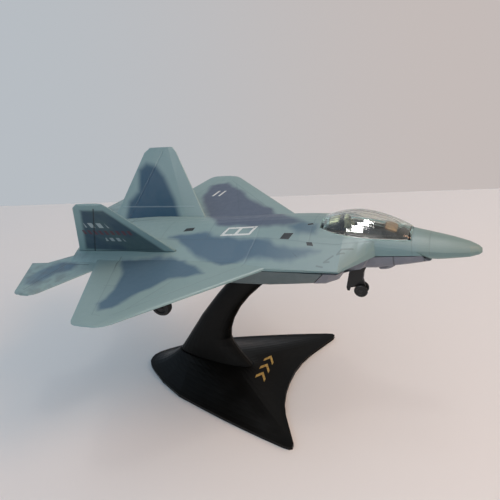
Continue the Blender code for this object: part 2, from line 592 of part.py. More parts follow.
def main_gear(plane, black, steel):
    hy, hz = MAIN_HINGE
    wx, wz, radius = MAIN_WHEEL
    for side, label in ((1, "left"), (-1, "right")):
        frame = Frame(f"main_gear_{label}_axis", (wx, side * hy, hz), plane)
        outline = [(wx - 1.7, hz), (wx - 1.5, hz - 3.5), (wx - 1.0, wz + 2.0), (wx - 1.1, wz - 0.6),
                   (wx, wz - 1.2), (wx + 1.1, wz - 0.6), (wx + 1.0, wz + 2.0), (wx + 1.5, hz - 3.5), (wx + 1.7, hz)]
        ys = sorted((side * (hy - 1.0), side * (hy + 0.2)))
        leg = add(f"main_leg_{label}", slab(outline, "XZ", *ys), frame, black)
        eye = rod("X", (wx, side * hy, hz), 1.05, 3.4, segments=20)
        boolean(leg, add(f"join_main_eye_{label}", eye, frame), "UNION")
        boolean(leg, add(f"cut_main_eye_{label}", rod("X", (wx, side * hy, hz), 0.5 + RUN, 6, segments=16), frame))
        axle_hole = rod("Y", (wx, side * (hy - 0.4), wz), 0.5 + RUN, 4, segments=16)
        boolean(leg, add(f"cut_main_axle_{label}", axle_hole, frame))
        add(f"main_hinge_pin_{label}", rod("X", (wx, side * hy, hz), 0.5, 6.8, segments=16), plane, steel)

        wheel = Frame(f"main_wheel_{label}_axis", (wx, side * 16.8, wz), frame)
        axle = add(f"main_axle_{label}", rod("Y", (wx, side * 16.0, wz), 0.5, 4.2, segments=16), frame, steel)
        cap = rod("Y", (wx, side * 18.25, wz), 0.95, 0.3, segments=20)
        boolean(axle, add(f"join_axle_cap_{label}", cap, frame), "UNION")
        add(f"main_wheel_{label}", wheel_mesh((wx, side * 16.75, wz), radius, 2.6, 0.5 + RUN), wheel, black)


# ---- stand --------------------------------------------------------------------------------
# Half outline of the base from its rear point round to the middle of its front edge.
BASE_HALF = [(-38.8, 0.0), (-38.5, 1.9), (-37.2, 3.9), (-35.0, 5.9), (-29.0, 10.6), (-20.2, 15.6), (-9.5, 19.2),
             (-1.0, 21.9), (7.6, 24.4), (14.6, 26.3), (21.0, 27.9), (23.2, 28.2), (24.2, 27.7), (24.1, 26.2),
             (21.4, 21.2), (18.5, 15.8), (16.5, 10.7), (15.4, 5.3), (15.1, 0.0)]
BASE_EDGE = 1.2                 # thickness of the base's rim
FOOT = (-25.5, 2.3, 3.6)        # plateau that the arm stands on: x from, x to, half width
FOOT_Z = (8.8, 5.3)             # its height at the rear and at the front
# The arm's section at each level: rear x and z, front x and z, thickness.
ARM = [(-25.0, 9.1, 1.8, 5.6, 6.4), (-23.5, 11.2, -1.6, 10.3, 6.3), (-21.6, 14.0, -3.7, 13.9, 6.2),
       (-19.5, 17.2, -4.7, 16.9, 6.1), (-17.1, 20.8, -4.2, 20.4, 6.0), (-14.3, 25.1, -2.5, 25.1, 5.9),
       (-10.9, 29.6, 0.5, 30.4, 5.8), (-7.0, 34.7, 4.5, 35.6, 5.8), (-3.5, 38.9, 9.0, 40.2, 5.8),
       (0.0, 42.9, 13.0, 44.0, 5.8)]
ARM_TOP = (4.0, 17.0)           # where the arm meets the belly, along the aeroplane's own x
TENON = (-14.6, -9.0, 1.7)      # peg under the arm: x from, x to, half width


def lens(x0, z0, x1, z1, thick, count=14):
    """Pointed-oval ring between a rear and a front point."""
    ring = []
    for k in range(2 * count):
        angle = math.pi * k / count
        along = 0.5 - 0.5 * math.cos(angle)
        width = abs(math.sin(angle)) ** 0.75 * (thick / 2) * (1 if k < count else -1)
        ring.append((x0 + (x1 - x0) * along + STAND_X, width, z0 + (z1 - z0) * along))
    return ring


def base_rings(inset, drop, levels=9):
    """Rings from the base's edge up to the arm's plateau, all with matched points."""
    half = BASE_HALF
    outline = half + [(x, -y) for x, y in half[-2:0:-1]]
    x0, x1, wide = FOOT
    middle = [((x - -8.0) * (1 - inset / 30) - 8.0, y * (1 - inset / 30)) for x, y in outline]
    inner = []
    for k in range(len(outline)):
        share = k / len(outline)
        angle = 2 * math.pi * share
        along = 0.5 - 0.5 * math.cos(angle)
        y = math.sin(angle)
        inner.append((x0 + (x1 - x0) * along, math.copysign(abs(y) ** 0.75, y) * wide,
                      FOOT_Z[0] + (FOOT_Z[1] - FOOT_Z[0]) * along))
    rings = []
    for level in range(levels):
        s = level / (levels - 1)
        rise = s ** 1.7
        ring = []
        for (x, y), (ix, iy, iz) in zip(middle, inner):
            z = BASE_EDGE + (iz - BASE_EDGE) * rise - drop
            ring.append((x + (ix - x) * s + STAND_X, y + (iy - y) * s, z))
        rings.append(ring)
    return rings


def stand(black):
    frame = Frame("stand_frame", (0, 0, 0))
    rings = base_rings(0.0, 0.0)
    edge = [(x, y, 0.0) for x, y, z in rings[0]]
    base = add("stand_base", loft([edge] + rings), frame, black)
    inner = base_rings(2.6, 1.6)
    under = [(x, y, -1.0) for x, y, z in inner[0]]
    boolean(base, add("cut_base_under", loft([under] + inner[:7]), frame))
    x0, x1, half = TENON
    x0, x1 = x0 + STAND_X, x1 + STAND_X
    boss = box((x0 - 1.8, x1 + 1.8), (-half - 1.6, half + 1.6), (0.6, 5.6))
    boolean(base, add("join_base_boss", boss, frame), "UNION")
    socket = box((x0 - GAP, x1 + GAP), (-half - GAP, half + GAP), (2.2, 14))
    boolean(base, add("cut_base_socket", socket, frame))

    levels = [lens(*level) for level in ARM]
    top = []
    for x, y, z in lens(ARM_TOP[0] - STAND_X, -7.5 - GAP, ARM_TOP[1] - STAND_X, -7.5 - GAP, 5.8):
        top.append(tuple(PLANE_TURN @ Vector((x, y, z)) + Vector(PLANE_ORIGIN)))
    arm = add("stand_arm", loft(levels + [top]), frame, black)
    tenon = box((x0, x1), (-half, half), (2.2 + GAP, 14))
    boolean(arm, add("join_arm_tenon", tenon, frame), "UNION")
    x0, x1, half = SOCKET
    peg = box((x0 + GAP, x1 - GAP), (-half + GAP, half - GAP), (-9.5, -1.8))
    boolean(arm, add("join_arm_peg", peg, PLANE), "UNION")


# ---- assembly -----------------------------------------------------------------------------
for old in list(bpy.data.objects):
    bpy.data.objects.remove(old, do_unlink=True)
PARTS = collection("toy_airplane")
CUTTERS = collection("cutters")
PLANE_TURN = Matrix.Rotation(-math.radians(PITCH), 3, "Y")
PLANE = Frame("plane_frame", PLANE_ORIGIN, pitch=PITCH)


def main():
    paint = material("airframe_paint", PAINT, 0.5)
    plastic = material("belly_plastic", BELLY_GREY, 0.45)
    lilac = material("front_belly_plastic", FRONT_BELLY_GREY, 0.5)
    black = material("black_plastic", BLACK, 0.35)
    stand_black = material("stand_plastic", BLACK, 0.25)
    steel = material("steel", (0.5, 0.5, 0.52), 0.3, 1.0)
    dark = material("nozzle_plastic", (0.05, 0.05, 0.055), 0.5)
    olive = material("seat_plastic", (0.10, 0.11, 0.07), 0.6)
    clear = material("canopy_plastic", (0.75, 0.78, 0.74), 0.05, alpha=0.3)

    upper_body(PLANE, paint)
    for side, label in ((1, "left"), (-1, "right")):
        add(f"fin_{label}", fin_mesh(side, 1.0, 2.2, 0.0), PLANE, paint)
    belly_rear(PLANE, plastic)
    belly_front(PLANE, lilac)
    cockpit(PLANE, clear, black, olive)
    exhaust_nozzles(PLANE, dark)
    screws(PLANE, steel)
    nose_gear(PLANE, black, steel)
    main_gear(PLANE, black, steel)
    stand(stand_black)


main()
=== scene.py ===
"""Looks of the toy jet on its display stand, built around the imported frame."""
import math

import bmesh
import bpy
from mathutils import Matrix, Vector
from mathutils.bvhtree import BVHTree


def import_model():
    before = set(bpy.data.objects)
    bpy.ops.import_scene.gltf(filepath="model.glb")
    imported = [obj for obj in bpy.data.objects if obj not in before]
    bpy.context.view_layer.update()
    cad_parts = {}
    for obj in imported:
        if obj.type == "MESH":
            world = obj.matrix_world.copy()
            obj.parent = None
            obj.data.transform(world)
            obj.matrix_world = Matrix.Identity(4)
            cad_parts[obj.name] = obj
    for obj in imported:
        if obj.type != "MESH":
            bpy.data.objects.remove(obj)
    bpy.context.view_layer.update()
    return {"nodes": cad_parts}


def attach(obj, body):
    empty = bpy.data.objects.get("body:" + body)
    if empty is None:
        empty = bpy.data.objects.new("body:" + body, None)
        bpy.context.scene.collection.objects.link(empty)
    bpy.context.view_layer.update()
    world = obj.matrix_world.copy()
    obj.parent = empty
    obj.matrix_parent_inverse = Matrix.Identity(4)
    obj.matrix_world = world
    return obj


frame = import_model()

MM = 0.001
PITCH = math.radians(4.1)                  # the aeroplane is held nose-up by this angle
ORIGIN = Vector((-3.79, 0.0, 55.27))       # the aeroplane's own origin in the world, mm
TURN = Matrix.Rotation(-PITCH, 3, "Y")     # from the aeroplane's axes to the world's
FIN_ROOT, FIN_TOP = (10.9, 1.4), (22.2, 22.9)   # y and z of a fin's foot and tip

VIEW = tuple(math.radians(v) for v in (23.4547, 29.5611, -6.8228))   # azimuth, elevation, roll
BACK = Vector((math.sin(VIEW[0]) * math.cos(VIEW[1]), -math.cos(VIEW[0]) * math.cos(VIEW[1]),
               math.sin(VIEW[1])))
RIGHT = Vector((math.cos(VIEW[0]), math.sin(VIEW[0]), 0.0))
CAMERA_PLACE = (0.066014, -0.14704, 0.14312)
LENS_MM, SENSOR_MM = 43.2, 36.0

TABLE_EDGE = Vector((-209.4, 110.2)), Vector((76.9, 171.6))   # two points of the far edge, mm
TABLE_SPREAD, TABLE_DEEP, TABLE_THICK = 1600, 3000, 25.0

PLANE_MIDDLE = (0, 0, 0.05)
CANOPY_SIDE = (0.037, -0.005, 0.066)


def rgb(red, green, blue):
    """Screen colour (0 to 255) as linear light."""
    parts = [v / 255 for v in (red, green, blue)]
    return tuple(v / 12.92 if v <= 0.04045 else ((v + 0.055) / 1.055) ** 2.4 for v in parts)


def world(x, y, z):
    """Point in the aeroplane's frame, millimetres, to the world in metres."""
    return (TURN @ Vector((x, y, z)) + ORIGIN) * MM


# ---- node trees ---------------------------------------------------------------------------
class Val:
    """A socket that can be used in sums."""

    def __init__(self, net, socket):
        self.net, self.socket = net, socket

    def __add__(self, other):
        return self.net.math("ADD", self, other)

    def __sub__(self, other):
        return self.net.math("SUBTRACT", self, other)

    def __rsub__(self, other):
        return self.net.math("SUBTRACT", other, self)

    def __mul__(self, other):
        return self.net.math("MULTIPLY", self, other)

    __radd__, __rmul__ = __add__, __mul__


class Net:
    """A material's node tree, with short ways to add to it."""

    def __init__(self, name, tree=None):
        self.material = None
        if tree is None:
            self.material = bpy.data.materials.new(name)
            self.material.use_nodes = True
            tree = self.material.node_tree
        self.tree = tree
        self.shader = tree.nodes.get("Principled BSDF")

    def put(self, socket, value):
        if isinstance(value, Val):
            self.tree.links.new(value.socket, socket)
        elif isinstance(value, tuple) and socket.type == "RGBA" and len(value) == 3:
            socket.default_value = (*value, 1.0)
        else:
            socket.default_value = value

    def node(self, kind, inputs=None, out=0, **settings):
        made = self.tree.nodes.new("ShaderNode" + kind)
        for key, value in settings.items():
            setattr(made, key, value)
        for key, value in (inputs or {}).items():
            self.put(made.inputs[key], value)
        return Val(self, made.outputs[out])

    def math(self, operation, a, b=0.0, c=0.0):
        return self.node("Math", {0: a, 1: b, 2: c}, operation=operation)

    def vector(self, operation, a, b=None, scale=None):
        inputs = {0: a}
        if b is not None:
            inputs[1] = b
        if scale is not None:
            inputs["Scale"] = scale
        out = "Value" if operation in ("DOT_PRODUCT", "LENGTH", "DISTANCE") else "Vector"
        return self.node("VectorMath", inputs, out=out, operation=operation)

    def split(self, vector):
        made = self.tree.nodes.new("ShaderNodeSeparateXYZ")
        self.put(made.inputs[0], vector)
        return [Val(self, made.outputs[k]) for k in range(3)]

    def join(self, x, y, z):
        return self.node("CombineXYZ", {0: x, 1: y, 2: z})

    def ramp(self, value, low, high, start=0.0, end=1.0, smooth=True):
        """start at low to end at high, with soft ends."""
        return self.node("MapRange", {"Value": value, "From Min": low, "From Max": high, "To Min": start,
                                      "To Max": end}, interpolation_type="SMOOTHSTEP" if smooth else "LINEAR")

    def mix(self, share, a, b, blend="MIX"):
        """Colour a, going to b as share goes to 1."""
        made = self.tree.nodes.new("ShaderNodeMix")
        made.data_type, made.blend_type = "RGBA", blend
        self.put(made.inputs["Factor"], share)
        self.put(made.inputs[6], a)
        self.put(made.inputs[7], b)
        return Val(self, made.outputs[2])

    def most(self, *values):
        found = values[0]
        for value in values[1:]:
            found = self.math("MAXIMUM", found, value)
        return found

    def least(self, *values):
        found = values[0]
        for value in values[1:]:
            found = self.math("MINIMUM", found, value)
        return found

    def noise(self, where, scale, detail=2.0, rough=0.5, out=0):
        return self.node("TexNoise", {"Vector": where, "Scale": scale, "Detail": detail, "Roughness": rough},
                         out=out)

    def world_mm(self):
        place = self.node("TexCoord", out="Object")
        return self.node("Mapping", {"Vector": place, "Scale": (1000, 1000, 1000)})

    def plane_mm(self):
        """Where a point is in the aeroplane's own frame, in millimetres."""
        place = self.node("TexCoord", out="Object")
        back = TURN.inverted() @ ORIGIN
        return self.node("Mapping", {"Vector": place, "Scale": (1000, 1000, 1000), "Rotation": (0, PITCH, 0),
                                     "Location": tuple(-back)})

    def inside(self, x, y, outline):
        """1 inside a flat outline and 0 outside it, by counting the edges beyond the point."""
        above = [self.math("GREATER_THAN", point[1], y) for point in outline]
        total = 0.0
        for k, (x0, y0) in enumerate(outline):
            j = (k + 1) % len(outline)
            x1, y1 = outline[j]
            if y0 == y1:
                continue
            slope = (x1 - x0) / (y1 - y0)
            before = self.math("LESS_THAN", x, self.math("MULTIPLY_ADD", y, slope, x0 - y0 * slope))
            total = self.math("MULTIPLY_ADD", above[j] - above[k], before, total)
        return self.math("ABSOLUTE", total)

    def line_distance(self, flat, path):
        """Distance from a flat position (z = 0) to a line through points."""
        found = None
        for (x0, y0), (x1, y1) in zip(path, path[1:]):
            along = Vector((x1 - x0, y1 - y0, 0))
            start = self.vector("SUBTRACT", flat, (x0, y0, 0))
            share = self.vector("DOT_PRODUCT", start, tuple(along)) * (1 / along.length_squared)
            share = self.math("MINIMUM", self.math("MAXIMUM", share, 0.0), 1.0)
            reach = self.vector("SCALE", tuple(along), scale=share)
            gap = self.vector("DISTANCE", start, reach)
            found = gap if found is None else self.math("MINIMUM", found, gap)
        return found

    def patch(self, flat, outline, soft):
        """1 inside an outline and 0 outside, fading across its edge by soft millimetres each way."""
        x, y, _ = self.split(flat)
        sign = self.math("MULTIPLY_ADD", self.inside(x, y, outline), 2.0, -1.0)
        return self.ramp(self.line_distance(flat, outline + outline[:1]) * sign, -soft, soft)

    def finish(self, color, roughness, bump=None, depth=0.05, **sockets):
        """Fill in the Principled shader; bump is a height from 0 to 1, depth its size in millimetres."""
        self.put(self.shader.inputs["Base Color"], color)
        self.put(self.shader.inputs["Roughness"], roughness)
        for key, value in sockets.items():
            self.put(self.shader.inputs[key.replace("_", " ")], value)
        if bump is not None:
            made = self.node("Bump", {"Height": bump, "Distance": depth * MM, "Strength": 1.0})
            self.put(self.shader.inputs["Normal"], made)
        return self.material


# ---- paint on the casting -----------------------------------------------------------------
# Outlines in the aeroplane's own frame, millimetres: x forward, y to port.
LIGHT = rgb(130, 158, 160)
BLUE = rgb(78, 108, 128)
VIOLET = rgb(82, 97, 117)
MARK_WHITE = rgb(222, 228, 226)
MARK_DARK = rgb(34, 40, 44)

WING_RIGHT = [(-30, -15), (-25.5, -24), (-23.2, -31), (-24.2, -38.5), (-21.5, -41.2), (-18, -40),
              (-14.1, -32.2), (-9, -25), (0, -20.8), (-9, -15), (-18, -13.6)]
BODY_RIGHT = [(-17.5, -6.1), (-8, -4.5), (-1, -6.2), (11, -7.8), (23, -10.2), (31.4, -11.4), (24, -13.7),
              (10, -13.6), (4, -16.2), (-4, -13.6), (-13, -9)]
WING_LEFT = [(-16, 17.4), (-22.5, 28.5), (-23.5, 38.5), (-18.2, 41.6), (-10.7, 35.6), (-2.6, 27), (7, 20.4),
             (20, 1.4), (24.8, -2.1), (19, -3.7), (5, -2.6), (-2, -1.9), (-7.7, 4.8)]
SPINE_PATCH = [(20.7, -3.7), (24.8, -2.1), (28.6, -3.2), (29.0, -6.4), (23.8, -5.4)]
STAB_RIGHT = [(-57, -29), (-60, -25), (-57.5, -20), (-53, -15.5), (-45.5, -16.5), (-46, -20.5), (-51, -23),
              (-54, -29.6)]
DARK_MARKS = [[(19.3, -8.0), (20.2, -6.1), (23.0, -6.1), (22.0, -8.2)],
              [(27.3, -8.9), (28.9, -8.9), (29.5, -10), (27.7, -9.9)],
              [(23.0, -11.2), (23.5, -11.6), (25.8, -13.3), (25.3, -13.0)],
              [(26.3, -2.7), (27.6, -2.1), (28.1, -2.7), (26.6, -3.1)]]
VENT = [(-13.6, -3.8), (-13.0, -2.2), (-10.1, -2.0), (-10.3, -3.6)]
# Plain geometric marks where a maker would print a badge: a slanted frame with one bar across it.
FRAME_OUT = [(0.0, -6.3), (1.7, -3.0), (11.3, -3.0), (9.6, -6.3)]
FRAME_IN = [(1.2, -5.7), (2.2, -3.6), (10.1, -3.6), (9.1, -5.7)]
BARS = [[(4.4, -5.9), (5.6, -3.5), (6.6, -3.5), (5.4, -5.9)],
        [(-19.4, 30.0), (-18.4, 34.4), (-17.6, 34.4), (-18.6, 30.0)],
        [(-17.0, 30.0), (-16.0, 34.4), (-15.2, 34.4), (-16.2, 30.0)]]
# Thin printed lines on the starboard shoulder.
PRINT_LINES = [[(40.2, -9.4), (37.4, -10.4), (36.4, -12.0), (38.2, -11.2)],
               [(35.4, -12.4), (33.2, -14.2), (34.6, -14.0)], [(33.0, -15.4), (31.4, -15.2)]]
# Engraved panel lines of the starboard side; the port side mirrors them.
PANELS = [[(-31.0, 14.2), (-31.0, 17.0), (-22.3, 43.6), (-19.8, 43.6)],
          [(-27.6, 29.6), (-23.6, 29.6)],
          [(8.6, 17.4), (-16.6, 43.4)],
          [(-3.6, 17.2), (-13.6, 40.2)],
          [(59.4, 0.0), (59.4, 5.2)],
          [(55.0, 0.0), (55.0, 5.8)],
          [(46.0, 5.9), (36.4, 9.0), (28.0, 9.0), (12.0, 7.4), (-14.0, 7.4), (-38.0, 6.0), (-49.5, 6.0)],
          [(28.0, 0.0), (28.0, 9.0)],
          [(12.0, 0.0), (12.0, 7.4), (10.0, 16.4)],
          [(-4.0, 0.0), (-4.0, 7.4)],
          [(-20.0, 0.0), (-20.0, 7.0), (-22.0, 9.6)],
          [(-38.0, 0.0), (-38.0, 9.0)],
          [(-42.0, 16.8), (-50.6, 16.8), (-55.8, 31.8)]]


def grain(net, where, amount=0.04):
    """Slight mottling of a painted or moulded surface, about 1."""
    fine = net.noise(where, 1.7, 3.0, 0.6)
    wide = net.noise(where, 0.09, 2.0, 0.5)
    return 1.0 - amount + (fine + wide) * amount


def shade(net, color, share):
    """Colour times a number."""
    return net.vector("SCALE", color, scale=share)


def casting_paint():
    net = Net("paint_casting")
    where = net.plane_mm()
    x, y, z = net.split(where)
    flat = net.join(x, net.math("ABSOLUTE", y), 0.0)
    top = net.ramp(z, -1.4, -0.4)

    # Airbrushed patches: their outlines wander a little and fade at the edge.
    wander = net.vector("SUBTRACT", net.noise(where, 0.13, 2.0, out=1), (0.5, 0.5, 0.5))
    moved = net.vector("ADD", where, net.vector("SCALE", wander, scale=4.0))
    drift = net.vector("MULTIPLY", moved, (1, 1, 0))

    color = net.mix(net.noise(where, 0.05, 1.0), rgb(126, 155, 157), rgb(136, 162, 163))
    blues = (WING_RIGHT, BODY_RIGHT, SPINE_PATCH, STAB_RIGHT)
    blue = net.most(*[net.patch(drift, patch, 1.1) for patch in blues])
    color = net.mix(blue * top, color, BLUE)
    color = net.mix(net.patch(drift, WING_LEFT, 1.3) * top, color, VIOLET)
    color = net.mix(net.ramp(x, 54.0, 59.0, 0.0, 0.5), color, rgb(128, 148, 138))
    # Darker from x = 8 mm forward, fully from x = 34 mm: painted shade over the shoulders and nose.
    color = net.mix(net.ramp(x, 8.0, 34.0, 0.0, 0.35), color, rgb(98, 124, 126))

    dark = net.most(*[net.inside(x, y, mark) for mark in DARK_MARKS + [VENT]])
    color = net.mix(dark * top, color, MARK_DARK)
    outline = net.inside(x, y, FRAME_OUT) - net.inside(x, y, FRAME_IN)
    white = net.most(outline, *[net.inside(x, y, mark) for mark in BARS])
    chips = net.ramp(net.noise(where, 1.6, 3.0, 0.7), 0.32, 0.42)
    color = net.mix(white * top * chips * 0.85, color, MARK_WHITE)
    side = net.join(x, y, 0.0)
    thin = net.ramp(net.least(*[net.line_distance(side, path) for path in PRINT_LINES]), 0.12, 0.30, 0.5, 0.0)
    color = net.mix(thin * top, color, rgb(70, 88, 92))

    near = net.least(*[net.line_distance(flat, path) for path in PANELS])
    groove = net.ramp(near, 0.08, 0.24, 1.0, 0.0) * top
    deep = net.ramp(x, -29.0, -31.5, 0.13, 0.5)
    color = net.mix(groove * deep, color, rgb(52, 66, 74))
    soot = net.ramp(x, -49.0, -38.0, 0.4, 0.0) * net.ramp(net.noise(where, 0.35, 3.0), 0.35, 0.7)
    color = net.mix(soot, color, rgb(88, 98, 100))
    color = shade(net, color, grain(net, where, 0.035))

    peel = net.noise(where, 2.2, 2.0, 0.5)
    height = peel * 0.12 + (1.0 - groove * deep * 2.0) * 0.88
    rough = net.ramp(net.noise(where, 0.5, 4.0, 0.6), 0.3, 0.7, 0.40, 0.52)
    return net.finish(color, rough, height, depth=0.16, Specular_IOR_Level=0.26, Coat_Weight=0.04,
                      Coat_Roughness=0.35)


def fin_paint():
    """Fins: dark outboard faces with a pale border, pale inboard faces with one dark patch."""
    net = Net("paint_fin")
    where = net.plane_mm()
    x, y, z = net.split(where)
    lean = math.atan2(FIN_TOP[0] - FIN_ROOT[0], FIN_TOP[1] - FIN_ROOT[1])
    out = net.math("ABSOLUTE", y) - FIN_ROOT[0]
    up = out * math.sin(lean) + (z - FIN_ROOT[1]) * math.cos(lean)
    across = out * math.cos(lean) - (z - FIN_ROOT[1]) * math.sin(lean)
    outboard = net.ramp(across, -0.05, 0.05)
    flat = net.join(x, up, 0.0)

    outer = [(-16.6, 1.0), (-26.6, 21.8), (-34.4, 21.8), (-45.6, 1.0)]
    face = net.mix(net.ramp(net.noise(where, 0.12, 2.0), 0.35, 0.65), rgb(66, 90, 96), rgb(54, 76, 92))
    face = net.mix(net.patch(flat, outer, 0.8), LIGHT, face)
    for low, high, back, front, pitch, ink in ((13.2, 15.6, -38.0, -29.4, 2.1, rgb(178, 190, 192)),
                                               (9.6, 11.8, -41.0, -22.6, 3.1, rgb(98, 46, 56)),
                                               (6.2, 8.0, -34.6, -27.4, 2.7, rgb(170, 182, 186))):
        band = net.inside(x, up, [(back, low), (back + 0.6, high), (front - 0.6, high), (front, low)])
        dash = net.ramp(net.math("SINE", x * pitch), -0.3, 0.0)
        face = net.mix(band * dash * outboard * 0.75, face, ink)

    patch = [(-35.8, 19), (-38.6, 17), (-38.8, 9.4), (-42.6, 6), (-44.3, -2), (-21.6, -2), (-24.6, 6.7),
             (-28.7, 14.4), (-31.9, 18)]
    inner = net.mix(net.patch(flat, patch, 1.4), LIGHT, rgb(26, 74, 100))
    color = net.mix(outboard, inner, face)

    rudder = net.line_distance(flat, [(-29.4, 22.6), (-42.5, 0.2)])
    rib = net.line_distance(flat, [(-17.4, 4.2), (-45.0, 4.2)])
    groove = net.ramp(rudder, 0.12, 0.32, 1.0, 0.0)
    # The inboard crease is drawn as a pale line: a painted highlight where it catches the light, also raised
    # a little in the bump.
    crease_highlight = net.ramp(rib, 0.10, 0.34, 1.0, 0.0) * (1.0 - outboard)
    color = net.mix(groove * (outboard * 0.65 + 0.1), color, rgb(22, 30, 36))
    color = net.mix(crease_highlight * 0.35, color, rgb(150, 172, 180))
    color = shade(net, color, grain(net, where, 0.04))
    height = net.noise(where, 2.2, 2.0) * 0.12 + (1.0 - groove) * 0.5 + crease_highlight * 0.38
    rough = net.ramp(net.noise(where, 0.5, 4.0, 0.6), 0.3, 0.7, 0.38, 0.5)
    return net.finish(color, rough, height, depth=0.14, Specular_IOR_Level=0.3, Coat_Weight=0.05,
                      Coat_Roughness=0.35)


def moulded(name, color, rough, depth=0.03, amount=0.05, scale=3.0, **sockets):
    """Moulded plastic with a fine spark-eroded texture and faint rubbing."""
    net = Net(name)
    where = net.plane_mm()
    color = shade(net, color, grain(net, where, amount))
    fine = net.noise(where, scale, 3.0, 0.6)
    gloss = net.ramp(net.noise(where, 0.25, 4.0, 0.65), 0.3, 0.7, rough - 0.06, rough + 0.06)
    return net.finish(color, gloss, fine, depth=depth, **sockets)


def belly_finish(name, color, tip):
    """Belly plastic: moulding grain, panel lines across it, rubbed paler in scattered patches."""
    net = Net(name)
    where = net.plane_mm()
    x, y, _ = net.split(where)
    flat = net.join(x, net.math("ABSOLUTE", y), 0.0)
    near = net.line_distance(flat, [(-36.0, 15.8), (-36.0, 6.0), (-12.0, 6.0), (-12.0, 15.8)])
    for path in ([(-12.0, 6.0), (24.0, 6.0)], [(5.0, 15.8), (5.0, 6.0)], [(38.0, 3.2), (58.0, 2.0)],
                 [(58.0, 0.0), (58.0, 5.0)], [(50.0, 0.0), (50.0, 6.0)]):
        near = net.math("MINIMUM", near, net.line_distance(flat, path))
    groove = net.ramp(near, 0.10, 0.28, 1.0, 0.0)
    rub = net.ramp(net.noise(where, 0.4, 4.0, 0.7), 0.45, 0.7, 0.0, 0.35)
    color = net.mix(rub, color, tip)
    color = net.mix(groove * 0.6, color, rgb(38, 44, 48))
    color = shade(net, color, grain(net, where, 0.05))
    height = net.noise(where, 2.4, 3.0, 0.6) * 0.2 + (1.0 - groove) * 0.8
    rough = net.ramp(net.noise(where, 0.3, 4.0, 0.6), 0.3, 0.7, 0.44, 0.56)
    return net.finish(color, rough, height, depth=0.12)


def canopy_finish():
    """Clear, faintly smoky styrene."""
    net = Net("clear_canopy")
    where = net.plane_mm()
    haze = net.noise(where, 0.5, 3.0)
    color = net.mix(haze, rgb(232, 234, 228), rgb(240, 240, 236))
    ripple = net.noise(where, 0.18, 1.0)
    return net.finish(color, net.ramp(haze, 0.3, 0.7, 0.02, 0.05), ripple, depth=0.006,
                      Transmission_Weight=1.0, IOR=1.47)


def metal_finish(name, dull, bright):
    net = Net(name)
    where = net.world_mm()
    streak = net.noise(net.vector("MULTIPLY", where, (1.0, 6.0, 6.0)), 1.2, 3.0)
    color = net.mix(streak, dull, bright)
    return net.finish(color, net.ramp(streak, 0.2, 0.8, 0.22, 0.38), streak, depth=0.01, Metallic=1.0)


def stand_finish():
    """Glossy black styrene: faint flow marks and dust."""
    net = Net("stand_black")
    where = net.world_mm()
    dust = net.ramp(net.noise(where, 1.3, 5.0, 0.75), 0.66, 0.78, 0.0, 0.15)
    color = net.mix(dust, rgb(11, 11, 10), rgb(60, 60, 58))
    color = shade(net, color, grain(net, where, 0.1))
    fine = net.noise(where, 1.1, 4.0, 0.6)
    rough = net.ramp(net.noise(where, 0.12, 4.0, 0.6), 0.3, 0.7, 0.28, 0.40)
    return net.finish(color, rough, fine, depth=0.012, Specular_IOR_Level=0.10)


def nozzle_finish():
    net = Net("nozzle_dark")
    where = net.plane_mm()
    x = net.split(where)[0]
    ribs = net.ramp(net.math("SINE", x * 5.2), -0.3, 0.3)
    color = net.mix(net.ramp(x, -51.5, -44.0), rgb(42, 42, 44), rgb(66, 66, 66))
    color = net.mix(ribs * 0.35, color, rgb(30, 30, 31))
    color = shade(net, color, grain(net, where, 0.08))
    return net.finish(color, net.ramp(net.noise(where, 0.6, 3.0), 0.3, 0.7, 0.34, 0.5), ribs, depth=0.08,
                      Metallic=0.35)


def dress(name, material):
    """Give a CAD node a new material in every slot."""
    target = frame["nodes"][name]
    for slot in target.material_slots:
        slot.material = material


paint = casting_paint()
dress("upper_body", paint)
fins = fin_paint()
dress("fin_left", fins)
dress("fin_right", fins)
dress("belly_rear", belly_finish("belly_rear_plastic", rgb(88, 102, 104), rgb(112, 124, 124)))
dress("belly_front", belly_finish("belly_front_plastic", rgb(112, 115, 124), rgb(128, 130, 136)))
dress("canopy", canopy_finish())
dress("cockpit_tub", moulded("cockpit_black", rgb(13, 14, 14), 0.5, 0.05, 0.1))
dress("pilot_seat", moulded("seat_olive", rgb(74, 76, 62), 0.6, 0.05, 0.1))
dress("exhaust_nozzles", nozzle_finish())
gear_black = moulded("gear_black", rgb(15, 15, 16), 0.45, 0.03, 0.1, Specular_IOR_Level=0.3)
wheel_black = moulded("wheel_black", rgb(11, 11, 12), 0.5, 0.05, 0.12, Specular_IOR_Level=0.3)
steel = metal_finish("plated_steel", rgb(170, 170, 172), rgb(205, 205, 206))
gunmetal = metal_finish("black_steel", rgb(38, 38, 40), rgb(62, 62, 64))
for node in frame["nodes"]:
    if "wheel" in node:
        dress(node, wheel_black)
    elif "leg" in node:
        dress(node, gear_black)
    elif "pin" in node or "axle" in node:
        dress(node, gunmetal)
    elif "screw" in node:
        dress(node, steel)
stand_black = stand_finish()
dress("stand_base", stand_black)
dress("stand_arm", stand_black)


# ---- small pieces -------------------------------------------------------------------------
def piece(name, bm, body, material, place=world):
    """Finish a bmesh drawn in millimetres as a visible piece on a body."""
    bmesh.ops.recalc_face_normals(bm, faces=bm.faces[:])
    for vert in bm.verts:
        vert.co = place(*vert.co)
    mesh = bpy.data.meshes.new(name)
    bm.to_mesh(mesh)
    bm.free()
    mesh.materials.append(material)
    mesh.shade_smooth()
    mesh.set_sharp_from_angle(angle=math.radians(30.0))
    made = bpy.data.objects.new(name, mesh)
    bpy.context.scene.collection.objects.link(made)
    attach(made, body)
    return made


def skin(bm, rings):
    """Closed skin through rings with equal numbers of points, added to a bmesh."""
    rows = [[bm.verts.new(p) for p in ring] for ring in rings]
    count = len(rows[0])
    for a, b in zip(rows, rows[1:]):
        for i in range(count):
            j = (i + 1) % count
            bm.faces.new((a[i], a[j], b[j], b[i]))
    bm.faces.new(rows[0][::-1])
    bm.faces.new(rows[-1])
    return bm


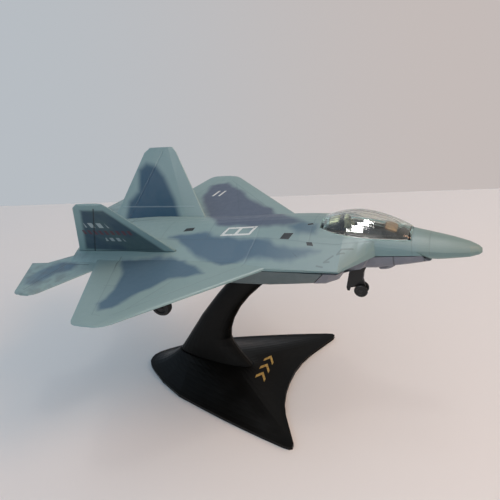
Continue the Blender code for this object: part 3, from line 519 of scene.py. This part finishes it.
def loft(rings):
    return skin(bmesh.new(), rings)


def cushion_rings(low, high, half, steps=7, crown=0.25):
    """Rounded pad between two (x, z) ends, lofted across its length."""
    rings = []
    for k in range(steps):
        s = k / (steps - 1)
        x, z = (low[i] + (high[i] - low[i]) * s for i in range(2))
        swell = math.sin(math.pi * s) ** 0.5 if 0 < s < 1 else 0.0
        wide, thick = half * (0.86 + 0.14 * swell), 0.28 + crown * swell
        nx, nz = -(high[1] - low[1]), high[0] - low[0]
        size = math.hypot(nx, nz)
        nx, nz = nx / size, nz / size
        ring = []
        for j in range(16):
            a = 2 * math.pi * j / 16
            c, d = math.cos(a), math.sin(a)
            c = math.copysign(abs(c) ** 0.6, c)
            d = math.copysign(abs(d) ** 0.8, d)
            ring.append((x + nx * thick * d, wide * c, z + nz * thick * d))
        rings.append(ring)
    return rings


def cockpit_details():
    cloth = moulded("seat_cushion", rgb(96, 98, 78), 0.75, 0.06, 0.12, 6.0)
    cream = moulded("deck_cream", rgb(150, 156, 128), 0.6, 0.05, 0.1)
    amber = moulded("amber_panel", rgb(112, 88, 62), 0.4, 0.03, 0.1)
    grey = moulded("console_grey", rgb(52, 54, 54), 0.5, 0.04, 0.1)
    pads = (("seat_pan_cushion", (38.9, 4.45), (41.0, 4.5), 1.05, 0.25, "seat_plastic", cloth),
            ("seat_back_cushion", (38.65, 4.7), (38.1, 6.9), 1.0, 0.25, "seat_plastic", cloth),
            ("seat_headrest", (37.2, 7.6), (37.1, 8.2), 0.75, 0.35, "seat_plastic", cream),
            ("instrument_cover", (47.6, 5.45), (50.6, 4.3), 2.1, 0.3, "cockpit_black", amber),
            ("rear_deck_pad", (32.5, 6.55), (35.2, 7.4), 1.9, 0.2, "cockpit_black", cream))
    for name, low, high, half, crown, slot, material in pads:
        piece(name, loft(cushion_rings(low, high, half, crown=crown)), "airframe", material)
    for side, name in ((1, "console_left"), (-1, "console_right")):
        piece(name, loft(cushion_rings((37.4, 4.8), (45.6, 3.75), 0.5, crown=0.15)), "airframe",
              grey, place=lambda x, y, z: world(x, y + 3.9 * side, z))


cockpit_details()


def emblem():
    """Plain gold chevrons on the front slope of the base, lying on its surface."""
    gold = Net("gold_print")
    where = gold.world_mm()
    wear = gold.noise(where, 1.4, 4.0, 0.7)
    color = gold.mix(gold.ramp(wear, 0.35, 0.65), rgb(150, 118, 62), rgb(196, 164, 96))
    gold.finish(color, gold.ramp(wear, 0.3, 0.7, 0.3, 0.5), wear, depth=0.02, Metallic=0.7)
    base = frame["nodes"]["stand_base"]
    tree = BVHTree.FromObject(base, bpy.context.evaluated_depsgraph_get())

    def drop(x, y, lift):
        hit = tree.ray_cast(Vector((x, y, 60)) * MM, Vector((0, 0, -1)))
        return hit[0] + hit[1] * lift * MM

    def strip(start, end, wide, steps=8):
        """Raised band from one corner of a chevron to the next, following the base."""
        rings = []
        for i in range(steps + 1):
            x, y = (start[j] + (end[j] - start[j]) * i / steps for j in range(2))
            rings.append([drop(x, y, -0.02), drop(x, y, 0.06), drop(x, y + wide, 0.06),
                          drop(x, y + wide, -0.02)])
        return rings

    bm = bmesh.new()
    for k in range(3):
        y = -4.6 + 4.4 * k
        left, tip, right = (0.4, y), (2.0, y + 2.6), (3.6, y)
        skin(bm, strip(left, tip, 1.5))
        skin(bm, strip(tip, right, 1.5))
    piece("stand_chevrons", bm, "stand", gold.material,
          place=lambda x, y, z: Vector((x, y, z)))


emblem()


# ---- table, room and lights ---------------------------------------------------------------
def table():
    left, right = TABLE_EDGE
    along = (right - left).normalized()
    deep = Vector((along.y, -along.x))
    far_left, far_right = left - along * TABLE_SPREAD, right + along * TABLE_SPREAD
    corners = [far_left, far_right, far_right + deep * TABLE_DEEP, far_left + deep * TABLE_DEEP]
    bm = loft([[(p.x * MM, p.y * MM, z * MM) for p in corners] for z in (-TABLE_THICK, -0.02)])
    bmesh.ops.recalc_face_normals(bm, faces=bm.faces[:])
    mesh = bpy.data.meshes.new("table")
    bm.to_mesh(mesh)
    bm.free()
    made = bpy.data.objects.new("table", mesh)
    bpy.context.scene.collection.objects.link(made)
    net = Net("table_white")
    where = net.world_mm()
    soft = net.noise(where, 0.01, 2.0)
    fine = net.noise(where, 0.6, 3.0)
    color = net.mix(soft, rgb(223, 225, 226), rgb(226, 225, 223))
    mesh.materials.append(net.finish(color, net.ramp(fine, 0.3, 0.7, 0.5, 0.6), fine, depth=0.01))
    step = made.modifiers.new("rounded", "BEVEL")
    step.width, step.segments = 2 * MM, 3


def room():
    """Soft light all round: cool to the left of the view, warm to its right."""
    made = bpy.data.worlds.new("room")
    bpy.context.scene.world = made
    made.use_nodes = True
    net = Net("room", made.node_tree)
    ray = net.node("TexCoord", out="Generated")
    side = net.vector("DOT_PRODUCT", ray, tuple(RIGHT))
    z = net.split(ray)[2]
    back = net.mix(net.ramp(side, -0.38, 0.38), rgb(183, 189, 195), rgb(196, 187, 184))
    high = net.mix(net.ramp(side, -0.9, 0.9), rgb(174, 196, 218), rgb(206, 198, 190))
    color = net.mix(net.ramp(z, -0.06, 0.12), back, high)
    shader = made.node_tree.nodes["Background"]
    net.put(shader.inputs["Color"], color)
    shader.inputs["Strength"].default_value = 1.0


def area(name, azimuth, elevation, distance, size, color, power, diffuse=True, target=PLANE_MIDDLE):
    """Area light seen from the object in a direction given in degrees from +X and above the table."""
    light = bpy.data.lights.new(name, "AREA")
    light.shape = "RECTANGLE"
    light.size, light.size_y = size
    light.color = color
    light.energy = power
    made = bpy.data.objects.new(name, light)
    a, e = math.radians(azimuth), math.radians(elevation)
    way = Vector((math.cos(a) * math.cos(e), math.sin(a) * math.cos(e), math.sin(e)))
    made.location = Vector(target) + way * distance
    made.rotation_euler = way.to_track_quat("Z", "Y").to_euler()
    made.visible_camera = False
    made.visible_diffuse = diffuse
    bpy.context.scene.collection.objects.link(made)
    return made


def camera():
    lens = bpy.data.cameras.new("camera")
    lens.lens, lens.sensor_width = LENS_MM, SENSOR_MM
    lens.clip_start, lens.clip_end = 0.005, 20.0
    made = bpy.data.objects.new("camera", lens)
    axes = Matrix((RIGHT, BACK.cross(RIGHT), BACK)).transposed() @ Matrix.Rotation(VIEW[2], 3, "Z")
    made.matrix_world = Matrix.Translation(CAMERA_PLACE) @ axes.to_4x4()
    bpy.context.scene.collection.objects.link(made)
    bpy.context.scene.camera = made


table()
room()
camera()
area("right_soft", 2, 42, 0.6, (0.26, 0.26), rgb(255, 204, 168), 1.75)
area("ceiling_strip", -10, 82, 1.2, (0.12, 0.12), rgb(255, 246, 238), 0.6)
# Two windows that only the gloss shows, seen in the near side of the canopy.
area("window_upper", -100, 78, 0.9, (0.22, 1.02), (1, 1, 1), 21.0, diffuse=False, target=CANOPY_SIDE)
area("window_lower", -100, 21, 0.9, (0.24, 0.36), (1, 1, 1), 8.0, diffuse=False, target=CANOPY_SIDE)
bpy.context.scene.view_settings.view_transform = "Standard"
